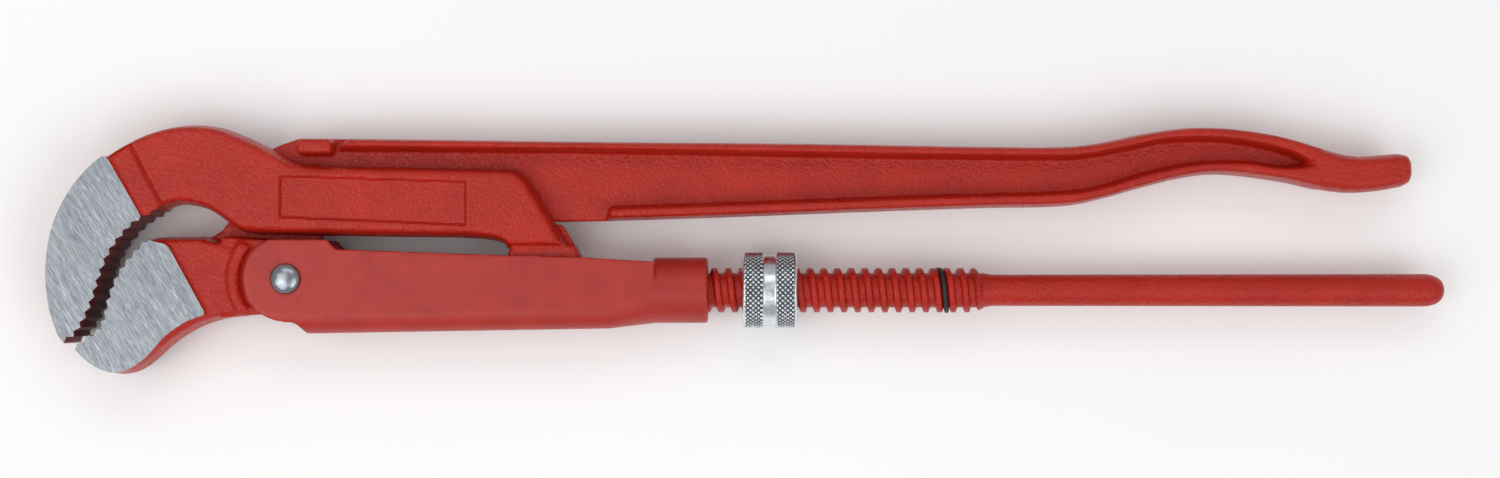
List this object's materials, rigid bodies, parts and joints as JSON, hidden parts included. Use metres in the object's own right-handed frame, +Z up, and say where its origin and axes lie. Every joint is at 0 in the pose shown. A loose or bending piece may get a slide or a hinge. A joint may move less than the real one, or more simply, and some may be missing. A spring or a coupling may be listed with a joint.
{
  "type": "pipe wrench",
  "caption": "Swedish-pattern pipe wrench with S-shaped toothed jaws, a pivoting I-section handle, a sliding threaded leg and a knurled adjusting nut.",
  "frame": {"origin": "centre of the footprint, on the floor the wrench lies on", "axes": "+X along the handles away from the jaws, +Y towards the I-section handle, +Z up through the thickness"},
  "size_m": [0.5502, 0.0984, 0.0328],
  "materials": {
    "forged_paint": "red enamel over rough forged steel, semi-gloss",
    "sheet_paint": "fine-textured red powder coat on pressed sheet steel",
    "rivet_steel": "bright, lightly worked dome",
    "nut_plating": "bright zinc plating over diamond knurling",
    "ring_rubber": "matt black"
  },
  "bodies": {
    "lower_leg": {"lower_jaw_leg": "forged_paint"},
    "bracket": {"housing": "sheet_paint", "pivot_rivet": "rivet_steel"},
    "upper_leg": {"upper_jaw_leg": "forged_paint", "stop_ring": "ring_rubber"},
    "nut": {"adjusting_nut": "nut_plating"}
  },
  "joints": [
    {"name": "handle_pivot", "type": "hinge", "parent": "lower_leg", "child": "bracket", "pos_m": [-0.18078, -0.01169, 0.0164], "axis": [0, 0, -1], "range_deg": [0, 5.5]},
    {"name": "jaw_slide", "type": "slide", "parent": "bracket", "child": "upper_leg", "axis": [-1, 0, 0], "range_m": [0, 0.0538]},
    {"name": "nut_spin", "type": "hinge", "parent": "bracket", "child": "nut", "pos_m": [0.0084, -0.01609, 0.0164], "axis": [1, 0, 0], "range_deg": [0, 3600]}
  ],
  "couplings": [
    {"joint": "nut_spin", "follows": "jaw_slide", "rad_per_m": 1163.6}
  ]
}
